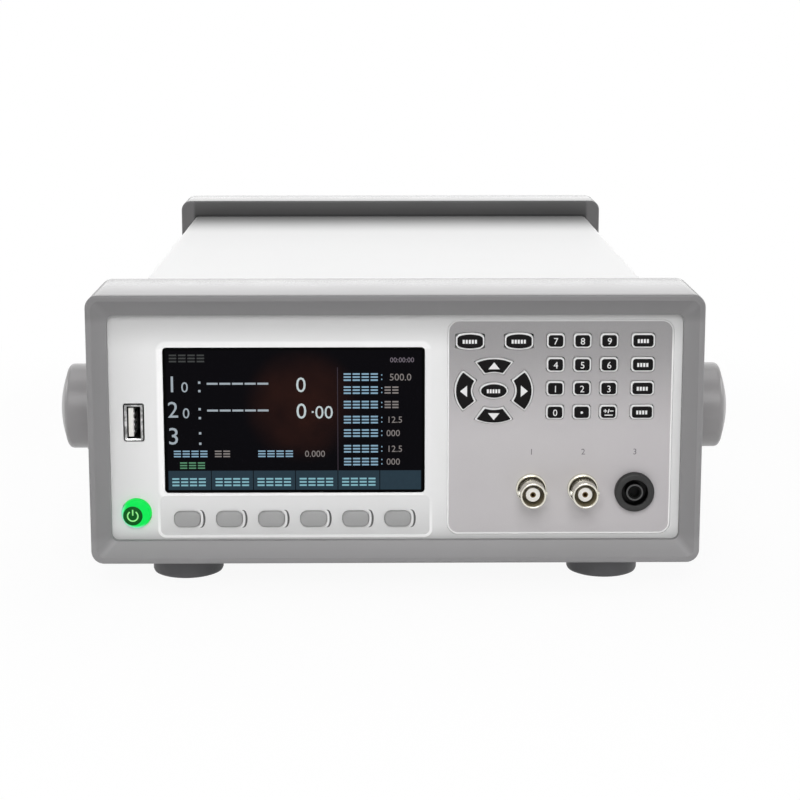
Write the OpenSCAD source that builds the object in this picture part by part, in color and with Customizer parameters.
// Bench surface resistivity tester: half-rack steel case in two push-on bumpers,
// a moulded fascia with display, keypad and guarded inputs, and a swinging bail handle.
// The front faces -Y, +Z is up, and the origin is the centre of the footprint on the table.

/* [Case] */
// Length of the instrument over both bumpers
total_l = 360; // [330:1:420]
// Thickness of the folded steel sheet
sheet = 1.2; // [0.8:0.1:1.6]
// Outer bend radius along the case's long edges
bend_r = 3; // [2:0.5:5]
// Number of vent slots on each side
vent_count = 9; // [3:1:12]
// Distance between vent slots
vent_pitch = 9; // [6:0.5:10]
// Length of a side vent slot
vent_l = 28; // [16:1:34]

/* [Bumpers] */
// Wall of the front bumper beside the case
front_side = 10; // [8:0.5:13]
// Wall of the rear bumper beside the case
rear_side = 7; // [5.5:0.5:10]
// Wall of both bumpers above and below the case
bumper_top = 8.5; // [7:0.5:12]
// Length of the front bumper
front_bumper_l = 44; // [40:1:54]
// How much of the case the front bumper covers
front_grip = 20; // [19.5:0.5:22]
// Length of the rear bumper
rear_bumper_l = 30; // [29:1:40]
// How far the rear bumper reaches past the rear panel
rear_recess = 19; // [16:1:22]
// Outer corner radius of both bumpers
bumper_r = 5; // [3:0.5:7]
// Rounding of the bumpers' outer edges
bumper_edge = 1.6; // [0.8:0.1:2]
// Flat rim outside the bevel, with the edge rounding
bumper_rim = 2.4; // [2:0.1:3]
// Depth of the bevel round the face
bevel_depth = 3.4; // [2:0.2:4]
// Thickness of the lip that keeps the rear panel in
rear_lip = 4; // [3:0.5:6]

/* [Feet] */
// Diameter of a rubber foot
foot_d = 28; // [24:0.2:29]
// Height of a foot below the bumpers
foot_h = 11; // [8:0.5:14]
// Distance between left and right foot centres
foot_track = 166; // [140:1:176]

/* [Handle] */
// Diameter of the round handle ears
ear_d = 35; // [33:1:40]
// Gap between the front bumper and the handle's ears
ear_gap = 3.5; // [2:0.5:8]
// How far the pivot lies below the middle of the case
pivot_drop = 3.9; // [2:0.1:8]
// Length of the handle from pivot to the middle of the grip bar
handle_reach = 120; // [114:1:150]
// Width of the grip bar
grip_w = 24; // [20:1:28]
// Thickness of the grip bar
grip_t = 11; // [9:0.5:12]
// Thickness of a handle arm
arm_t = 10.5; // [8:0.5:12]
// Height of an arm next to its ear
arm_h = 23; // [19:1:26]
// How far an ear's rim stands out past its arm
ear_boss = 5.2; // [3:0.2:8]
// Rise of the domed face of an ear
ear_dome = 3; // [1:0.5:4]

/* [Fascia] */
// How far the fascia stands out past the case on each side
fascia_over = 2.8; // [2:0.1:4]
// How far the fascia stands out past the case above and below
fascia_over_z = 0.7; // [0.5:0.1:1.2]
// Depth of the fascia's face behind the front bumper's rim
fascia_recess = 6; // [5:0.5:7]
// Thickness of the fascia's face
fascia_t = 3; // [2.8:0.1:3.6]
// Display window width
window_w = 100.3; // [98:0.1:102]
// Display window height
window_h = 57.1; // [56:0.1:59]
// Width of the fascia left of the window
window_margin = 21.2; // [20.6:0.1:21.8]
// Height of the fascia above the window
window_top = 13.35; // [12:0.05:15]
// Width of the fascia between window and keypad overlay
window_gap = 8.75; // [8.5:0.05:12]
// Height of the strip that holds the soft keys
strip_h = 15.8; // [14:0.1:17]
// Height of the fascia between window and soft key strip
strip_gap = 1.15; // [0.6:0.05:3]
// Height of the fascia below the soft key strip
strip_edge = 2; // [1:0.1:4]
// Distance from each end of the strip to the middle of its outer soft key
softkey_inset = 11.4; // [10.5:0.1:14]
// How far the row of soft keys lies left of the window's middle
softkey_shift = 1; // [0:0.1:2]
// Width of a soft key
softkey_w = 10.3; // [8:0.1:11.4]
// Height of a soft key
softkey_h = 6.2; // [5.4:0.1:6.8]
// Travel of every key
key_travel = 0.8; // [0.4:0.1:1]
// Radius of the power button
power_r = 5.7; // [5:0.1:6]

/* [Keypad] */
// Keypad overlay width
overlay_w = 86.6; // [85:0.1:87]
// Width of the fascia right of the overlay
overlay_edge = 3.75; // [2.6:0.05:4.6]
// Height of the fascia above and below the overlay together
overlay_edge_z = 5; // [4.6:0.1:6]
// Thickness of the keypad overlay
overlay_t = 0.8; // [0.5:0.1:1.1]
// Corner radius of the keypad overlay
overlay_r = 4.5; // [3:0.5:6]
// Gap between a key's skirt and its hole
key_gap = 0.25; // [0.15:0.05:0.35]
// Width of the pale skirt round each key's black cap
skirt = 0.8; // [0.6:0.05:1.1]
// How far the skirts stand above the overlay
skirt_rise = 0.8; // [0.4:0.1:1.4]
// How far the black caps stand above their skirts
cap_rise = 0.8; // [0.3:0.1:1.2]
// Column pitch of the number keys
column_pitch = 10.25; // [9.4:0.05:10.8]
// Row pitch of the number keys
row_pitch = 9.3; // [8.6:0.05:9.6]
// Width of a number key's cap
number_w = 5.2; // [4.4:0.1:5.8]
// Width of a function key's cap
function_w = 7.3; // [6:0.1:7.8]
// Height of number and function caps
cap_h = 4; // [3.4:0.1:4.6]
// Width of a menu key's cap
menu_w = 9.3; // [8:0.1:10]
// Height of a menu key's cap
menu_h = 5; // [4.2:0.1:5.4]

/* [Connectors] */
// Distance between the three input connectors
jack_pitch = 20; // [17.5:0.1:20.4]
// How far the coaxial jacks stand out of the fascia
jack_l = 11.5; // [9.5:0.5:14]
// Outer radius of a coaxial jack's barrel
jack_r = 4.95; // [4.75:0.05:5]
// Radius of a coaxial jack's clamping ring
jack_ring_r = 6; // [5.8:0.1:7.2]
// Bore radius of the guard socket, for a 4 mm plug
plug_r = 2; // [1.9:0.05:2.1]
// Depth of the guard socket's bore
plug_l = 20; // [16:0.5:24]
// Radius of the guard socket's flange
guard_r = 7.65; // [7:0.05:8.2]
// How far the guard socket sits below the coaxial jacks
guard_drop = 1.2; // [0:0.1:3]

/* [Rear] */
// Side of the square cooling fan
fan_size = 50; // [40:1:54]
// Thickness of the cooling fan
fan_t = 15; // [12:1:20]
// Number of fan blades
blade_count = 7; // [5:1:9]
// Diameter of the mains transformer
transformer_d = 68; // [56:1:72]

/* [Hidden] */
$fn = 64;
softkey_count = 6;

// Sizes of the fascia, of the case that carries it and of what wraps them
push_fit = 0.2;
fascia_w = window_margin + window_w + window_gap + overlay_w + overlay_edge;
fascia_h = window_top + window_h + strip_gap + strip_h + strip_edge;
overlay_h = fascia_h - overlay_edge_z;
case_w = fascia_w - 2 * fascia_over;
case_h = fascia_h - 2 * fascia_over_z;
bumper_h = case_h + 2 * bumper_top;
front_bumper_w = case_w + 2 * front_side;
rear_bumper_w = case_w + 2 * rear_side;
fascia_corner = 3;
fascia_lip = 0.4;
face_size = [fascia_w - 2 * fascia_lip, fascia_h - 2 * fascia_lip];
plate_t = 2;
inside_w = case_w - 2 * sheet - 2 * push_fit;
tray_flange_h = 14;

// Places along Y, worked out from the front bumper's rim
jack_reach = jack_l - fascia_recess;
front_y = -(total_l - jack_reach) / 2;
fascia_y = front_y + fascia_recess;
fascia_back_y = fascia_y + fascia_t;
overlay_sink = 0.4;
overlay_y = fascia_y + overlay_sink;
case_front_y = front_y + front_bumper_l - front_grip;
back_y = front_y + total_l;
rear_y = back_y - rear_recess;
case_back_y = rear_y - plate_t;
case_l = case_back_y - case_front_y;
board_gap = 5;
board_y = fascia_back_y + board_gap;
board_t = 1.6;

// Places along Z
bumper_z = foot_h;
case_z = bumper_z + bumper_top;
mid_z = bumper_z + bumper_h / 2;

// Left half of the fascia: display, soft keys, USB socket and power button
left_x = -fascia_w / 2;
fascia_top_z = mid_z + fascia_h / 2;
window_at = [left_x + window_margin + window_w / 2, fascia_top_z - window_top - window_h / 2];
window_ledge = 0.8;
lit_size = [window_w - 5.3, window_h - 3.2];
lcd_frame = lit_size + [10.5, 13.3];
strip_size = [window_w + 4.1, strip_h];
strip_z = mid_z - fascia_h / 2 + strip_edge + strip_h / 2;
strip_sink = 0.3;
softkey_z = strip_z - 1.4;
softkey_pitch = (strip_size[0] - 2 * softkey_inset) / (softkey_count - 1);
softkey_rise = 1.4;
dimple_grow = [2.6, 0.8];
dimple_shift = 0.8;
dimple_sink = 0.5;
power_at = [left_x + 10, strip_z + 1.1];
power_rise = 2;
usb_at = [left_x + 9.7, window_at[1] - 0.6];
usb_outer = [5.9, 13.3];
usb_lip = [7.8, 14.7];
usb_l = 14.5;
usb_wall = 0.4;

// Right half of the fascia: overlay, keys and input connectors
overlay_at = [fascia_w / 2 - overlay_edge - overlay_w / 2, mid_z - 0.3];
overlay_top = overlay_at + [0, overlay_h / 2];
number_at = overlay_top + [-1.95, -8.05];
function_x = overlay_at[0] + 31.55;
menu_at = overlay_top + [-34.75, -8.2];
menu_pitch = 18.7;
arrows_at = overlay_top + [-25.55, -27.5];
jack_at = overlay_at + [-10.75, 18.1 - overlay_h / 2];
guard_at = jack_at + [2 * jack_pitch, -guard_drop];
thread_r = 4.6;
insulator_r = 2.7;
contact_r = 1.1;
guard_body_r = 5.9;
guard_flange_t = 3;
guard_face_y = overlay_y - guard_flange_t;
nut_t = 2.4;

// Key outlines and what lies behind the fascia
cap_corner = 0.9;
menu_bow = 0.9;
arrow_ring = [9, 14.3];
arrow_flatten = 0.853;
arrow_half = [35, 26];
arrow_taper = 5;
enter_half = [4.7, 2.4];
flange_grow = 0.6;
flange_t = 1;
key_post = 1.2;
key_post_r = 1.2;
switch_gap = 0.1;
switch_h = board_gap - flange_t - key_post - key_travel - switch_gap;
boss_r = 2.5;
boss_hole_r = 1.1;
fascia_wall = 2.5;
boss_z = fascia_h / 2 - 11.2;
board_clear = [0.8, 2.6];
boss_x = [left_x + 10.3, window_at[0] + window_w / 2 + 5.3, function_x + function_w / 2 + 4.15];
BOSSES = [
    [boss_x[0], mid_z + boss_z], [boss_x[0], mid_z - boss_z / 2],
    [boss_x[1], menu_at[1] - 7.4], [boss_x[1], mid_z - boss_z / 2],
    [boss_x[2], mid_z + boss_z], [boss_x[2], mid_z - 6]];

// Handle and hubs
hub_r = 16;
hub_gap = 0.5;
side_gap = 1.3;
arm_x = front_bumper_w / 2 + side_gap;
axle_r = 6;
axle_l = 11;
running = 0.05;
ear_x = arm_x + arm_t + ear_boss;
pivot_y = front_y + front_bumper_l + ear_gap + ear_d / 2;
pivot_z = mid_z - pivot_drop;
handle_drop = pivot_z - case_z / 2 + 0.2;
tab_w = 28;
washer_r = 9;
washer_t = 2;

// Feet and screws
foot_stem_r = 5;
foot_y = [front_y + front_bumper_l - foot_d / 2, back_y - rear_bumper_l / 2];
foot_sink = 6;
foot_edge = 1.2;
foot_plug = 5;
screw_r = 1.5;
screw_gap = 0.1;
screw_head_r = 3;
screw_head_t = 2;
side_screw_inset = [80, 40];
side_screw_y = [case_front_y + side_screw_inset[0], case_back_y - side_screw_inset[1]];
side_screw_z = case_z + 7;
REAR_SCREWS = [for (x = [9.5 - case_w / 2, 10, case_w / 2 - 9.5])
    [x, case_z + rear_lip + screw_head_r + 0.5]];

// Rear panel
fan_at = [case_w / 2 - 37.5, mid_z];
fan_wall = 1.5;
fan_hub_r = 11;
fan_shaft_r = 2;
inlet_at = [29.5 - case_w / 2, mid_z];
inlet_flange = [32, 50];
inlet_body = inlet_flange - [3.4, 8.4];
inlet_cavity = [24.4, 16.6];
inlet_rise = 9;
inlet_depth = 16;
drawer_size = [23, 9];
drawer_drop = 13;
drawer_l = 17;
drawer_gap = 0.15;
ground_at = inlet_at + [28, -22];
ground_r = 2;
socket_wall = 0.6;

// Interface sockets: name, centre, opening, depth behind, reach in front, seating flange
SOCKETS = [
    ["serial", [22, mid_z + 20], [17.4, 8.6], 10, 5, [31, 12.6]],
    ["handler", [-4, mid_z - 16], [39.6, 8.6], 10, 5, [53.2, 12.6]],
    ["lan", [-20, mid_z + 20], [16.2, 13.6], 16, 1, [19, 16]],
    ["usb_b", [-44, mid_z + 20], [12, 11], 15, 1, [15, 14]]];

// A solid whose outline is drawn in X and Z, reaching from y to y + length
module slab(y, length) {
    translate([0, y + length, 0]) rotate([90, 0, 0]) linear_extrude(length) children();
}

// A rectangle with round corners, centred
module round_rect(size, r) {
    square([size[0] - 2 * r, size[1]], center = true);
    square([size[0], size[1] - 2 * r], center = true);
    for (x = [-1, 1], z = [-1, 1])
        translate([x * (size[0] / 2 - r), z * (size[1] / 2 - r)]) circle(r, $fn = 32);
}

// A cylinder along Y from y to y + length
module rod(y, length, r) {
    translate([0, y, 0]) rotate([-90, 0, 0]) cylinder(length, r, r);
}

// A hexagonal nut along Y, by its radius over the corners
module nut(y, length, r) {
    translate([0, y, 0]) rotate([-90, 0, 0]) cylinder(length, r, r, $fn = 6);
}

// A block from one corner, by size
module block(corner, size) {
    translate(corner) cube(size);
}

// Puts what is drawn round the origin at a place on the face, given as X and Z
module at_face(at) {
    translate([at[0], 0, at[1]]) children();
}

// Repeats a piece on both sides of the case
module both_sides() {
    children();
    mirror([1, 0, 0]) children();
}

// A slot with round ends, drawn along its first axis
module slot_outline(length, width) {
    square([length - width, width], center = true);
    for (end = [-1, 1]) translate([end * (length - width) / 2, 0]) circle(width / 2, $fn = 24);
}

// A cross-recessed pan-head screw with its head towards -Y and its seat at the origin
module screw(shank) {
    difference() {
        union() {
            rod(-screw_head_t, screw_head_t, screw_head_r);
            rod(0, shank, screw_r);
        }
        for (a = [0, 90])
            rotate([0, a, 0]) block([-1.6, -screw_head_t - 0.1, -0.35], [3.2, 1.1, 0.7]);
    }
}

// One arrow key's outline: a piece of an oval ring centred on angle a, grown by g all round
function arrow_half_at(a) = a % 180 == 0 ? arrow_half[0] : arrow_half[1];
function oval(angle, r) = [r * cos(angle), r * sin(angle) * arrow_flatten];
module arrow_outline(a, g) {
    inner_r = arrow_ring[0] - g;
    outer_r = arrow_ring[1] + g;
    outer_half = arrow_half_at(a) + asin(g / outer_r);
    inner_half = arrow_half_at(a) - arrow_taper + asin(g / inner_r);
    polygon(concat(
        [for (i = [-6:6]) oval(a + outer_half * i / 6, outer_r)],
        [for (i = [6:-1:-6]) oval(a + inner_half * i / 6, inner_r)]));
}

// The oval enter key's outline, grown by g
module enter_outline(g) {
    polygon([for (a = [0:10:350]) [(enter_half[0] + g) * cos(a), (enter_half[1] + g) * sin(a)]]);
}

// A menu key's outline: a bar whose long edges bow outwards, grown by g
module menu_outline(g) {
    w = menu_w / 2 + g;
    h = menu_h / 2 + g;
    polygon(concat(
        [for (i = [-6:6]) [w * i / 6, h - menu_bow * pow(i / 6, 2)]],
        [for (i = [6:-1:-6]) [w * i / 6, -h + menu_bow * pow(i / 6, 2)]]));
}

module cap_outline(width, g) {
    round_rect([width + 2 * g, cap_h + 2 * g], cap_corner + g / 2);
}

// Every key of the keypad: its name, its centre, its kind and its direction
NUMBER_ROWS = [["key_7", "key_8", "key_9"], ["key_4", "key_5", "key_6"],
               ["key_1", "key_2", "key_3"], ["key_0", "key_point", "key_sign"]];
FUNCTION_KEYS = ["key_file", "key_lock", "key_discharge", "key_test"];
ARROW_KEYS = ["key_right", "key_up", "key_left", "key_down"];
MENU_KEYS = ["key_measure", "key_setup"];
KEYS = concat(
    [for (row = [0:3], column = [0:2])
        [NUMBER_ROWS[row][column], number_at + [column * column_pitch, -row * row_pitch],
         "number", 0]],
    [for (row = [0:3])
        [FUNCTION_KEYS[row], [function_x, number_at[1] - row * row_pitch], "function", 0]],
    [for (i = [0, 1]) [MENU_KEYS[i], menu_at + [i * menu_pitch, 0], "menu", 0]],
    [for (i = [0:3]) [ARROW_KEYS[i], arrows_at, "arrow", i * 90]],
    [["key_enter", arrows_at, "enter", 0]]);

module key_outline(key, g) {
    translate(key[1]) {
        if (key[2] == "number") cap_outline(number_w, g);
        if (key[2] == "function") cap_outline(function_w, g);
        if (key[2] == "menu") menu_outline(g);
        if (key[2] == "arrow") arrow_outline(key[3], g);
        if (key[2] == "enter") enter_outline(g);
    }
}

// Where the switch under a key sits: an arrow key presses at the middle of its arc
function press_point(key) =
    key[2] == "arrow" ? key[1] + oval(key[3], (arrow_ring[0] + arrow_ring[1]) / 2) : key[1];

function softkey_centre(i) =
    [window_at[0] - softkey_shift + (i - (softkey_count - 1) / 2) * softkey_pitch, softkey_z];

// A keypad key: a flange behind the fascia, a pale skirt in the hole and a raised black cap
module keypad_key(key) {
    top_y = overlay_y - skirt_rise;
    color("dimgray") {
        slab(top_y, fascia_back_y - top_y) key_outline(key, skirt);
        slab(top_y - cap_rise, cap_rise) key_outline(key, 0);
        slab(fascia_back_y, flange_t) key_outline(key, skirt + flange_grow);
        at_face(press_point(key)) rod(fascia_back_y + flange_t, key_post, key_post_r);
    }
}

module softkey_outline(g) {
    round_rect([softkey_w + 2 * g, softkey_h + 2 * g], softkey_h / 2 - 0.5 + g);
}

// A soft key under the display: a pill-shaped pad in its own dimple
module softkey(i) {
    color("silver") at_face(softkey_centre(i)) {
        slab(fascia_y - softkey_rise, fascia_t + softkey_rise) softkey_outline(0);
        slab(fascia_back_y, flange_t) softkey_outline(flange_grow);
        rod(fascia_back_y + flange_t, key_post, key_post_r);
    }
}

// The round power button: a revolved pad with a chamfered rim
module power_button() {
    top = flange_t + fascia_t + power_rise;
    color("limegreen") at_face(power_at) {
        translate([0, fascia_back_y + flange_t, 0]) rotate([90, 0, 0]) rotate_extrude() polygon([
            [0, 0], [power_r + flange_grow, 0], [power_r + flange_grow, flange_t],
            [power_r, flange_t], [power_r, top - 1], [power_r - 1, top], [0, top]]);
        rod(fascia_back_y + flange_t, key_post, key_post_r);
    }
}

// Holes through the tray or cover for the side screws and the handle's axles
module side_holes() {
    both_sides() {
        for (y = side_screw_y) translate([case_w / 2 - 5, y, side_screw_z]) rotate([0, 90, 0])
            cylinder(6, screw_r + screw_gap, screw_r + screw_gap);
        translate([case_w / 2 - 5, pivot_y, pivot_z]) rotate([0, 90, 0]) cylinder(6, axle_r, axle_r);
    }
}

// The folded steel tray: floor, side flanges with a tab behind each hub, and a rear upstand
module chassis_tray() {
    color("lightgray") difference() {
        union() {
            block([-inside_w / 2, case_front_y, case_z], [inside_w, case_l, sheet]);
            block([-inside_w / 2, case_back_y - sheet, case_z], [inside_w, sheet, tray_flange_h]);
            both_sides() {
                block([inside_w / 2 - sheet, case_front_y, case_z], [sheet, case_l, tray_flange_h]);
                block([inside_w / 2 - sheet, pivot_y - tab_w / 2, case_z],
                      [sheet, tab_w, pivot_z - case_z + tab_w / 2]);
            }
        }
        side_holes();
        for (x = [-1, 1]) translate([x * foot_track / 2, foot_y[0], case_z - 1])
            cylinder(sheet + 2, screw_r + screw_gap, screw_r + screw_gap);
        for (at = REAR_SCREWS) at_face(at) rod(case_back_y - 3, 6, screw_r + screw_gap);
        for (i = [0:vent_count - 1], x = [-30, 30])
            translate([x, case_back_y - 150 + i * vent_pitch, case_z - 1])
                linear_extrude(sheet + 2) slot_outline(26, 3);
    }
}

// The folded steel cover: top and both sides, with upright vent slots near the rear
module top_cover() {
    color("white") difference() {
        at_face([0, case_z + case_h / 2]) slab(case_front_y, case_l) difference() {
            union() {
                round_rect([case_w, case_h], bend_r);
                translate([0, -case_h / 4]) square([case_w, case_h / 2], center = true);
            }
            round_rect([case_w - 2 * sheet, case_h - 2 * sheet], bend_r - sheet / 2);
            translate([0, -case_h / 4])
                square([case_w - 2 * sheet, case_h / 2 + 0.1], center = true);
        }
        side_holes();
        for (i = [0:vent_count - 1]) translate([0, case_back_y - 120 + i * vent_pitch, mid_z])
            rotate([0, 90, 0]) linear_extrude(case_w + 2, center = true) slot_outline(vent_l, 3);
    }
}

// Holes for the coaxial jacks' threads and the guard socket's body
module connector_holes(y, length) {
    for (i = [0, 1]) at_face(jack_at + [i * jack_pitch, 0]) rod(y, length, thread_r + 0.1);
    at_face(guard_at) rod(y, length, guard_body_r + 0.1);
}

// Every hole and recess that is cut in the fascia's face
module fascia_cuts() {
    through_y = fascia_y - 1;
    through = fascia_t + 2;
    for (key = KEYS) slab(through_y, through) key_outline(key, skirt + key_gap);
    for (i = [0:softkey_count - 1]) at_face(softkey_centre(i)) {
        slab(through_y, through) softkey_outline(key_gap);
        translate([dimple_shift, 0, 0]) slab(through_y, 1 + strip_sink + dimple_sink)
            round_rect([softkey_w, softkey_h] + dimple_grow, 2.8);
    }
    at_face([window_at[0], strip_z]) slab(through_y, 1 + strip_sink) round_rect(strip_size, 2);
    at_face(power_at) rod(through_y, through, power_r + key_gap);
    at_face(usb_at) slab(through_y, through) round_rect(usb_lip + [0.3, 0.3], 0.9);
    at_face(window_at) {
        slab(through_y, through - 1 - window_ledge)
            round_rect([window_w + push_fit, window_h + push_fit], 1.5);
        slab(through_y, through) square(lit_size + [0.6, 0.6], center = true);
    }
    at_face(overlay_at) slab(through_y, 1 + overlay_sink + overlay_t)
        round_rect([overlay_w + push_fit, overlay_h + push_fit], overlay_r);
    connector_holes(through_y, through);
}

// The moulded fascia: face and skirt wall, tongues that slide into the case, and screw bosses
module front_panel() {
    tongue_t = 2.2;
    tongue_inset = 6;
    tongue_w = inside_w - 2 * tongue_inset;
    tongue_l = foot_y[0] - screw_r - 1 - fascia_back_y;
    color("whitesmoke") difference() {
        union() {
            at_face([0, mid_z]) {
                difference() {
                    slab(fascia_y, case_front_y - fascia_y)
                        round_rect([fascia_w, fascia_h], fascia_corner);
                    slab(fascia_back_y, case_front_y - fascia_back_y + 1)
                        square([fascia_w - 2 * fascia_wall, fascia_h - 2 * fascia_wall], center = true);
                }
                for (side = [-1, 1]) slab(fascia_back_y - 0.5, tongue_l + 0.5)
                    translate([0, side * (case_h / 2 - sheet - push_fit - tongue_t / 2)])
                        square([tongue_w, tongue_t], center = true);
            }
            for (at = BOSSES) at_face(at) rod(fascia_back_y - 0.5, board_gap + 0.5, boss_r);
        }
        fascia_cuts();
        for (at = BOSSES) at_face(at) rod(fascia_back_y, board_gap + 1, boss_hole_r);
    }
}

// The keypad overlay: a thin grey plate in its recess, pierced for keys and connectors
module keypad_overlay() {
    color("darkgray") difference() {
        at_face(overlay_at) slab(overlay_y, overlay_t)
            round_rect([overlay_w, overlay_h], overlay_r - push_fit / 2);
        for (key = KEYS) slab(overlay_y - 1, overlay_t + 2) key_outline(key, skirt + key_gap);
        connector_holes(overlay_y - 1, overlay_t + 2);
    }
}

module display_window() {
    color("black") at_face(window_at)
        slab(overlay_y, fascia_t - overlay_sink - window_ledge) round_rect([window_w, window_h], 1.4);
}

// The display module: a glass panel set into a pressed metal frame
module lcd_module() {
    color("darkslategray") at_face(window_at) difference() {
        slab(fascia_back_y, 3.5) square(lcd_frame, center = true);
        slab(fascia_back_y - 1, 1.8) square(lit_size, center = true);
    }
}

// Half section of a bumper corner: a bar with both end edges rounded
module bumper_section(length) {
    flat = bumper_r - bumper_edge;
    polygon(concat([[0, 0]],
        [for (a = [0:22.5:90]) [flat + bumper_edge * sin(a), bumper_edge * (1 - cos(a))]],
        [for (a = [0:22.5:90]) [flat + bumper_edge * cos(a), length - bumper_edge * (1 - sin(a))]],
        [[0, length]]));
}

// The outside of a bumper, rounded along its corners and both end edges
module bumper_body(y, length, width) {
    hull() for (x = [-1, 1], z = [-1, 1])
        translate([x * (width / 2 - bumper_r), y, mid_z + z * (bumper_h / 2 - bumper_r)])
            rotate([-90, 0, 0]) rotate_extrude($fn = 32) bumper_section(length);
}

// The bevel round an opening: from the wide outline at y to the narrow one at y + depth
module bevel_cut(y, depth, wide, narrow) {
    hull() at_face([0, mid_z]) {
        slab(y - 0.01, 0.01) round_rect(wide, fascia_corner);
        slab(y + depth, 0.01) round_rect(narrow, fascia_corner - fascia_lip);
    }
}

// Front bumper: grips fascia and case, with a bevelled rim round the face
module front_bumper() {
    rim = [front_bumper_w - 2 * bumper_rim, bumper_h - 2 * bumper_rim];
    color("gray") difference() {
        bumper_body(front_y, front_bumper_l, front_bumper_w);
        at_face([0, mid_z]) {
            slab(front_y - 1, front_bumper_l) round_rect(face_size, fascia_corner - fascia_lip);
            slab(fascia_y, case_front_y - fascia_y)
                square([fascia_w + push_fit, fascia_h + push_fit], center = true);
            slab(case_front_y, front_bumper_l)
                square([case_w + push_fit, case_h + push_fit], center = true);
        }
        bevel_cut(front_y, bevel_depth, rim, face_size);
        for (x = [-1, 1]) translate([x * foot_track / 2, foot_y[0], bumper_z - 1])
            cylinder(bumper_top + 2, foot_stem_r + 0.1, foot_stem_r + 0.1);
    }
}

// Rear bumper: its rim reaches past the plugs and keeps them clear of a wall
module rear_bumper() {
    y = back_y - rear_bumper_l;
    inner = [case_w - 2 * rear_lip, case_h - 2 * rear_lip];
    rim = [rear_bumper_w - 2 * bumper_rim, bumper_h - 2 * bumper_rim];
    color("gray") difference() {
        bumper_body(y, rear_bumper_l, rear_bumper_w);
        at_face([0, mid_z]) {
            slab(y - 1, rear_y - y + 1) square([case_w + push_fit, case_h + push_fit], center = true);
            slab(y - 1, rear_bumper_l + 2) round_rect(inner, fascia_corner);
        }
        mirror([0, 1, 0]) bevel_cut(-back_y, 2 * bevel_depth, rim, inner);
        for (x = [-1, 1]) translate([x * foot_track / 2, foot_y[1], bumper_z - 1]) {
            cylinder(foot_plug + 1, foot_stem_r + 0.1, foot_stem_r + 0.1);
            cylinder(bumper_top + 1, screw_r + screw_gap, screw_r + screw_gap);
        }
    }
}

// Four rubber feet: a round pad, a counterbore for its screw and a stem in the bumper
module feet() {
    for (i = [0, 1], x = [-1, 1]) translate([x * foot_track / 2, foot_y[i], 0]) {
        stem = i == 0 ? bumper_top : foot_plug;
        color("dimgray") rotate_extrude() polygon([
            [screw_head_r + 1, 0], [foot_d / 2 - foot_edge, 0],
            [foot_d / 2 - 0.3 * foot_edge, 0.3 * foot_edge], [foot_d / 2, foot_edge],
            [foot_d / 2, foot_h], [foot_stem_r, foot_h],
            [foot_stem_r, foot_h + stem], [screw_r + screw_gap, foot_h + stem],
            [screw_r + screw_gap, foot_sink], [screw_head_r + 1, foot_sink]]);
    }
}

// The outside screws: under the feet, at the sides and along the rear panel's foot
module case_screws() {
    foot_shank = case_z - foot_sink;
    color("silver") {
        for (i = [0, 1], x = [-1, 1]) translate([x * foot_track / 2, foot_y[i], foot_sink])
            rotate([90, 0, 0]) screw(i == 0 ? foot_shank + sheet + 2 : foot_shank);
        for (at = REAR_SCREWS)
            translate([at[0], rear_y, at[1]]) rotate([0, 0, 180]) screw(plate_t + sheet + 3);
        both_sides() for (y = side_screw_y)
            translate([case_w / 2, y, side_screw_z]) rotate([0, 0, 90]) screw(2 * sheet + push_fit + 3);
    }
}

// Fixed hubs on the case sides, each an axle with a washer clamped behind the tray's tab
module pivot_hubs() {
    washer_x = case_w / 2 - 2 * sheet - push_fit;
    color("gray") both_sides() translate([0, pivot_y, pivot_z]) rotate([0, 90, 0])
        rotate_extrude() polygon([
            [0, washer_x - washer_t], [washer_r, washer_x - washer_t], [washer_r, washer_x],
            [axle_r - 0.1, washer_x], [axle_r - 0.1, case_w / 2], [hub_r, case_w / 2],
            [hub_r, arm_x - hub_gap - 1], [hub_r - 1, arm_x - hub_gap],
            [axle_r, arm_x - hub_gap], [axle_r, arm_x + axle_l], [0, arm_x + axle_l]]);
}

// The handle arm from the side: it leaves the ear level and sweeps down to the flat grip bar
function arm_middle(t) = [
    handle_reach * (0.9 * t * (1 - t) + t * t), -handle_drop * (1.75 * t * (1 - t) + t * t)];
function arm_slope(t) = arm_middle(min(1, t + 0.01)) - arm_middle(max(0, t - 0.01));
function arm_half(t) = (1 - t) * arm_h / 2 + t * grip_t / 2;
function arm_edge(t, side) = let (s = arm_slope(t))
    arm_middle(t) + side * arm_half(t) * [-s[1], s[0]] / norm(s);
module arm_side() {
    steps = 14;
    end = handle_reach + grip_w / 2;
    half = grip_t / 2;
    nose = 3;
    polygon(concat(
        [for (i = [0:steps]) arm_edge(i / steps, 1)],
        [for (a = [90:-30:0]) [end - nose + nose * cos(a), -handle_drop + half - nose + nose * sin(a)]],
        [for (a = [0:-30:-90]) [end - nose + nose * cos(a), -handle_drop - half + nose + nose * sin(a)]],
        [for (i = [steps:-1:0]) arm_edge(i / steps, -1)]));
    circle(ear_d / 2 - 0.6);
}

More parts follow.
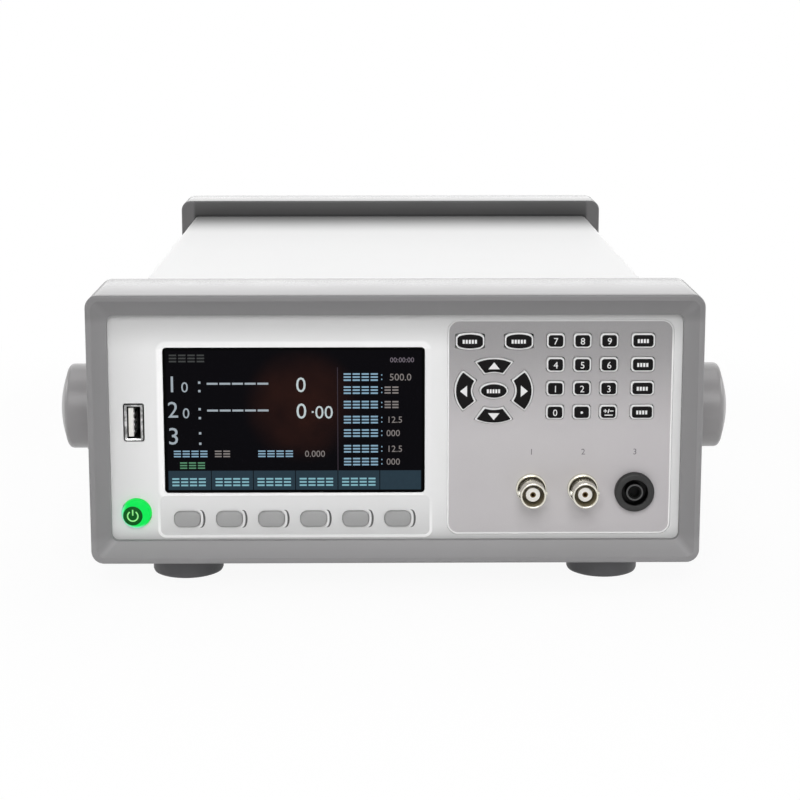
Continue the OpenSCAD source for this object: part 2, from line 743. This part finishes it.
// The handle from above: two arms joined by the grip bar through round corners
module bail_plan() {
    outer_x = arm_x + arm_t;
    end = handle_reach + grip_w / 2;
    inner_end = end - grip_w;
    outer_corner = 22;
    inner_corner = 12;
    start = -ear_d / 2;
    difference() {
        union() {
            translate([-outer_x, start]) square([2 * outer_x, end - outer_corner - start]);
            translate([-outer_x + outer_corner, start])
                square([2 * (outer_x - outer_corner), end - start]);
            for (x = [-1, 1]) translate([x * (outer_x - outer_corner), end - outer_corner])
                circle(outer_corner);
        }
        translate([-arm_x, start - 1]) square([2 * arm_x, inner_end - inner_corner - start + 1]);
        translate([-arm_x + inner_corner, start - 1])
            square([2 * (arm_x - inner_corner), inner_end - start + 1]);
        for (x = [-1, 1]) translate([x * (arm_x - inner_corner), inner_end - inner_corner])
            circle(inner_corner);
    }
}

// Half section of an ear: a flat inner face, a rounded rim and a domed outer face
module ear_section() {
    rim = 2;
    polygon(concat(
        [[0, arm_x], [ear_d / 2 - 0.8, arm_x], [ear_d / 2, arm_x + 0.8]],
        [for (a = [0:22.5:90]) [ear_d / 2 - rim * (1 - cos(a)), ear_x - rim * (1 - sin(a))]],
        [for (i = [5:-1:0]) [(ear_d / 2 - rim) * i / 6, ear_x + ear_dome * (1 - pow(i / 6, 2))]]));
}

// The swinging bail, folded back under the case, with finger ribs below the grip bar
module handle_bail() {
    color("gray") translate([0, pivot_y, pivot_z]) difference() {
        union() {
            intersection() {
                translate([0, 0, -100]) linear_extrude(140) bail_plan();
                rotate([90, 0, 90]) linear_extrude(2 * ear_x, center = true) arm_side();
            }
            both_sides() rotate([0, 90, 0]) rotate_extrude() ear_section();
        }
        both_sides() rotate([0, 90, 0]) translate([0, 0, arm_x - 1])
            cylinder(axle_l + 1.5, axle_r + running, axle_r + running);
        for (i = [-5:5]) translate([i * 9, handle_reach, -handle_drop - grip_t / 2])
            cube([3, grip_w - 8, 1.6], center = true);
    }
}

// The steel rear panel, with its fan grille and connector cut-outs
module rear_panel() {
    through_y = case_back_y - 1;
    through = plate_t + 2;
    color("lightgray") difference() {
        at_face([0, mid_z]) slab(case_back_y, plate_t) round_rect([case_w, case_h], bend_r);
        at_face(fan_at) fan_grille(through_y, through);
        for (at = REAR_SCREWS) at_face(at) rod(through_y, through, screw_r + screw_gap);
        at_face(inlet_at) slab(through_y, through) square(inlet_body + [0.2, 0.2], center = true);
        at_face(ground_at) rod(through_y, through, ground_r + 0.1);
        for (s = SOCKETS) at_face(s[1]) slab(through_y, through) socket_outline(s, 0.1);
    }
}

// Ring slots of the fan grille, left closed along four spokes
module fan_grille(y, length) {
    slot_w = 3.4;
    land = 1.8;
    reach = fan_size / 2 - 2;
    slab(y, length) difference() {
        for (r = [6:slot_w + land:reach]) difference() {
            circle(min(r + slot_w, reach));
            circle(r);
        }
        for (a = [45, 135]) rotate(a) square([fan_size * 1.2, 2.4], center = true);
    }
}

// Opening of an interface socket, grown by g: a D for the two D-sub sockets, else a rectangle
module socket_outline(s, g) {
    w = s[2][0] / 2 + g;
    h = s[2][1] / 2 + g;
    if (is_d_sub(s)) polygon([[-w, h], [-w + 1.6, -h], [w - 1.6, -h], [w, h]]);
    else square(2 * [w, h], center = true);
}
function is_d_sub(s) = s[0] == "serial" || s[0] == "handler";

// Metal shells of the interface sockets, each seated on the panel by its flange
module interface_sockets() {
    color("silver") for (s = SOCKETS) at_face(s[1]) difference() {
        union() {
            slab(case_back_y - s[3], s[3] + plate_t + s[4]) socket_outline(s, 0);
            if (is_d_sub(s)) slab(rear_y, 1) round_rect(s[5], 1.5);
            else slab(case_back_y - 1, 1) square(s[5], center = true);
        }
        slab(case_back_y - s[3] + 1, s[3] + plate_t + s[4]) socket_outline(s, -socket_wall);
    }
}

// Plastic inserts that carry the contacts inside the sockets
module socket_inserts() {
    color("dimgray") for (s = SOCKETS) at_face(s[1]) {
        base = case_back_y - s[3] + 1;
        fill = is_d_sub(s) ? s[3] + plate_t + s[4] - 2 : 2;
        slab(base, fill) socket_outline(s, -socket_wall);
        if (s[0] == "usb_b") slab(base + fill, s[3] - 4) square([5.6, 3.2], center = true);
    }
}

// Six-sided outline of the inlet cavity, with its two upper corners cut
module inlet_keyed() {
    w = inlet_cavity[0] / 2;
    h = inlet_cavity[1] / 2;
    cut = 4.5;
    polygon([[-w, -h], [w, -h], [w, h - cut], [w - cut, h], [cut - w, h], [-w, h - cut]]);
}

// The mains inlet: flange, body, the keyed cavity round three flat pins, and a fuse slot
module mains_inlet() {
    floor_y = rear_y - inlet_depth;
    color("dimgray") at_face(inlet_at) difference() {
        union() {
            slab(rear_y, 2) round_rect(inlet_flange, 2);
            slab(rear_y - 24, 24.5) square(inlet_body, center = true);
        }
        translate([0, 0, inlet_rise]) difference() {
            slab(floor_y, inlet_depth + 4) inlet_keyed();
            for (pin = [[-7, -2], [7, -2], [0, 3]])
                at_face(pin) slab(floor_y - 1, inlet_depth) square([2, 4], center = true);
        }
        translate([0, 0, -drawer_drop]) slab(rear_y - drawer_l - 1, drawer_l + 5)
            square(drawer_size, center = true);
    }
}

// The fuse drawer below the inlet: an open-topped tray behind a finger plate
module fuse_drawer() {
    tray = drawer_size - 2 * [drawer_gap, drawer_gap];
    plate_y = rear_y + 2;
    color("black") at_face(inlet_at - [0, drawer_drop]) difference() {
        union() {
            slab(rear_y - drawer_l, drawer_l + 2) square(tray, center = true);
            slab(plate_y, 1.4) round_rect(drawer_size + [2, 1.6], 1);
        }
        translate([0, 0, 1.8]) slab(rear_y - drawer_l + 2, drawer_l - 4)
            square([tray[0] - 3, tray[1]], center = true);
        translate([0, 0, -drawer_size[1] / 2]) slab(plate_y + 0.5, 2) square([8, 2.4], center = true);
    }
}

// The earth stud, clamped through the rear panel between two nuts
module ground_post() {
    color("gold") at_face(ground_at) {
        rod(case_back_y - 5, plate_t + 16, ground_r);
        nut(case_back_y - 3, 3, 4);
        rod(rear_y, 1, 4.4);
        nut(rear_y + 1, 3.2, 4);
    }
}

// Front USB socket: a pressed steel shell whose flared lip sits in the fascia's opening
module usb_shell() {
    color("silver") at_face(usb_at) difference() {
        union() {
            slab(fascia_y - 0.3, 0.6) round_rect(usb_lip, 0.8);
            slab(fascia_y, usb_l) square(usb_outer, center = true);
        }
        slab(fascia_y - 1, usb_l) square(usb_outer - 2 * [usb_wall, usb_wall], center = true);
    }
}

// The white tongue that carries the contacts inside the USB shell
module usb_tongue() {
    color("white") at_face(usb_at - [1.1, 0])
        slab(fascia_y + 0.6, usb_l - 1.6) square([1.9, 11.2], center = true);
}

// Coaxial jacks: clamping ring, barrel with two bayonet lugs, threaded tail and nut
module bnc_shells() {
    bore = 4.3;
    tail = 13;
    mouth_y = fascia_y - jack_l;
    color("khaki") for (i = [0, 1]) at_face(jack_at + [i * jack_pitch, 0]) difference() {
        union() {
            rod(overlay_y - 1.6, 1.6, jack_ring_r);
            rod(overlay_y - 3.2, 1.7, jack_ring_r - 0.6);
            rod(mouth_y, overlay_y - mouth_y, jack_r);
            rod(overlay_y - 0.5, tail + 0.5, thread_r);
            nut(fascia_back_y, nut_t, 7);
            translate([-5.7, mouth_y + 4.6, 0]) rotate([0, 90, 0]) cylinder(11.4, 0.95, 0.95);
        }
        rod(mouth_y - 1, jack_l, bore);
        rod(fascia_y - 2, tail + 4, insulator_r);
    }
}

// White dielectric sleeves inside the coaxial jacks
module bnc_insulators() {
    color("white") for (i = [0, 1]) at_face(jack_at + [i * jack_pitch, 0]) difference() {
        rod(fascia_y - jack_l + 2.2, jack_l + 10, insulator_r);
        rod(fascia_y - jack_l + 1, jack_l + 14, contact_r);
    }
}

// Sprung brass contacts: the centre sockets of the coaxial jacks and the guard socket's sleeve
module jack_contacts() {
    color("gold") {
        for (i = [0, 1]) at_face(jack_at + [i * jack_pitch, 0]) difference() {
            rod(fascia_y - jack_l + 2.2, jack_l + 12, contact_r);
            rod(fascia_y - jack_l + 1, jack_l, 0.7);
        }
        at_face(guard_at) difference() {
            rod(guard_face_y + 1, plug_l + 4, plug_r + 0.5);
            rod(guard_face_y, plug_l + 1, plug_r);
        }
    }
}

// The insulated guard socket: chamfered flange, a well round its tube, and a clamping nut
module guard_socket() {
    body_l = plug_l + 6;
    well_r = 5.1;
    tube_r = 3.3;
    tube_recess = 0.8;
    color("black") at_face(guard_at) difference() {
        union() {
            translate([0, guard_face_y, 0]) rotate([-90, 0, 0]) rotate_extrude() polygon([
                [0, 0], [guard_r - 1, 0], [guard_r - 0.3, 0.3], [guard_r, 1],
                [guard_r, guard_flange_t], [guard_body_r, guard_flange_t],
                [guard_body_r, body_l], [0, body_l]]);
            nut(fascia_back_y, 4, 8.4);
        }
        difference() {
            rod(guard_face_y - 1, 9, well_r);
            rod(guard_face_y + tube_recess, 9, tube_r);
        }
        rod(guard_face_y - 1, body_l + 2, plug_r + 0.5);
    }
}

// Keypad board: one printed board behind the fascia with a switch under every key
module keypad_board() {
    width = fascia_w - 2 * (fascia_wall + board_clear[0]);
    height = fascia_h - 2 * (fascia_wall + board_clear[1]);
    bottom = mid_z - height / 2;
    notch_clear = [10, 11];
    notch = [jack_at[0] - notch_clear[0], board_y - 1, bottom - 1];
    color("green") difference() {
        union() {
            block([-width / 2, board_y, bottom], [width, board_t, height]);
            for (key = KEYS) board_switch(press_point(key));
            for (i = [0:softkey_count - 1]) board_switch(softkey_centre(i));
            board_switch(power_at);
        }
        block(notch, [width, board_t + 2, jack_at[1] + notch_clear[1] - bottom]);
        for (at = BOSSES) at_face(at) rod(board_y - 1, board_t + 2, boss_hole_r + 0.1);
        at_face(usb_at) slab(board_y - 1, board_t + 2) square(usb_outer, center = true);
    }
}

// A square tactile switch on the board, its plunger just clear of the pressed key
module board_switch(at) {
    at_face(at) {
        slab(board_y - switch_h + 0.5, switch_h - 0.5) square([4.4, 4.4], center = true);
        rod(board_y - switch_h, switch_h, 1.1);
    }
}

// Main board on four pillars, with its larger components
module main_board() {
    size = [128, 186, 1.6];
    corner = [9.5 - case_w / 2, case_front_y + 32, case_z + sheet + 6];
    top = corner[2] + size[2];
    x = corner[0];
    y = corner[1];
    color("darkgreen") {
        block(corner, size);
        for (px = [8, size[0] - 8], py = [10, size[1] - 10])
            translate([x + px, y + py, case_z + sheet]) cylinder(6, 3, 3);
        block([x + 20, y + 30, top], [28, 28, 3]);
        block([x + 70, y + 40, top], [20, 20, 2.4]);
        block([x + 96, y + 116, top], [12, 34, 22]);
        for (i = [0:3]) translate([x + 24 + i * 16, y + 146, top]) cylinder(20, 6, 6);
    }
}

// Toroidal mains transformer between its foot plate and clamp plate
module power_transformer() {
    r = transformer_d / 2;
    h = 32;
    color("peru") translate([inside_w / 2 - sheet - 6 - r, case_back_y - 30 - r, case_z + sheet]) {
        translate([0, 0, 2]) rotate_extrude() translate([(r + 10) / 2, h / 2]) round_rect([r - 10, h], 5);
        cylinder(2, r - 6, r - 6);
        translate([0, 0, h + 2]) cylinder(2, r - 8, r - 8);
        cylinder(h + 8, 3, 3);
    }
}

// Screening can over the high-voltage source and the electrometer, behind the jacks
module measuring_module() {
    size = [50, 76, 46];
    wall = 1;
    right = inside_w / 2 - sheet - 9;
    color("silver") translate([right - size[0], case_front_y + 44, case_z + sheet]) difference() {
        cube(size);
        block([wall, wall, -wall], size - [2 * wall, 2 * wall, 0]);
        for (i = [0:6], k = [0:3])
            translate([10 + k * 10, 11 + i * 9, size[2] - 2]) cylinder(3, 1.6, 1.6, $fn = 24);
    }
}

// Square fan frame with a round duct, corner screw holes, and the motor mount on three spokes
module fan_frame() {
    y = case_back_y - fan_t;
    hole = fan_size / 2 - 4.6;
    color("dimgray") at_face(fan_at) {
        difference() {
            slab(y, fan_t) round_rect([fan_size, fan_size], 3);
            rod(y - 1, fan_t + 2, fan_size / 2 - fan_wall);
            for (x = [-1, 1], z = [-1, 1]) at_face([x * hole, z * hole]) rod(y - 1, fan_t + 2, 1.8);
        }
        rod(y, 2, fan_hub_r);
        slab(y, 2) for (a = [0, 60, 120]) rotate(a) square([fan_size - 2, 2.6], center = true);
        rod(y, fan_t - 4, fan_shaft_r);
    }
}

// Fan rotor: a motor cup that carries cambered blades, trimmed round to clear the duct
module fan_rotor() {
    y = case_back_y - fan_t + 2.6;
    depth = fan_t - 4.2;
    tip_r = fan_size / 2 - fan_wall - 0.8;
    color("dimgray") at_face(fan_at) difference() {
        union() {
            rod(y, depth, fan_hub_r);
            intersection() {
                rod(y, depth, tip_r);
                for (i = [0:blade_count - 1]) translate([0, y + depth / 2, 0])
                    rotate([0, i * 360 / blade_count, 0]) translate([fan_hub_r - 1, 0, 0])
                        rotate([90, 0, 90]) linear_extrude(tip_r - fan_hub_r + 1)
                            blade_section(depth);
            }
        }
        rod(y - 1, depth, fan_shaft_r + running);
    }
}

// Section of a fan blade: a thin plate bowed along its chord and set at its pitch angle
module blade_section(depth) {
    chord = depth * 1.05;
    bow = 1.6;
    thin = 1.1;
    rotate(48) polygon(concat(
        [for (t = [-4:4]) [chord * t / 8, bow * (1 - pow(t / 4, 2)) + thin / 2]],
        [for (t = [4:-1:-4]) [chord * t / 8, bow * (1 - pow(t / 4, 2)) - thin / 2]]));
}

chassis_tray();
top_cover();
front_panel();
rear_panel();
front_bumper();
rear_bumper();
feet();
case_screws();
pivot_hubs();
handle_bail();
display_window();
lcd_module();
keypad_overlay();
usb_shell();
usb_tongue();
bnc_shells();
bnc_insulators();
jack_contacts();
guard_socket();
keypad_board();
main_board();
power_transformer();
measuring_module();
fan_frame();
fan_rotor();
mains_inlet();
fuse_drawer();
interface_sockets();
socket_inserts();
ground_post();
power_button();
for (i = [0:softkey_count - 1]) softkey(i);
for (key = KEYS) keypad_key(key);
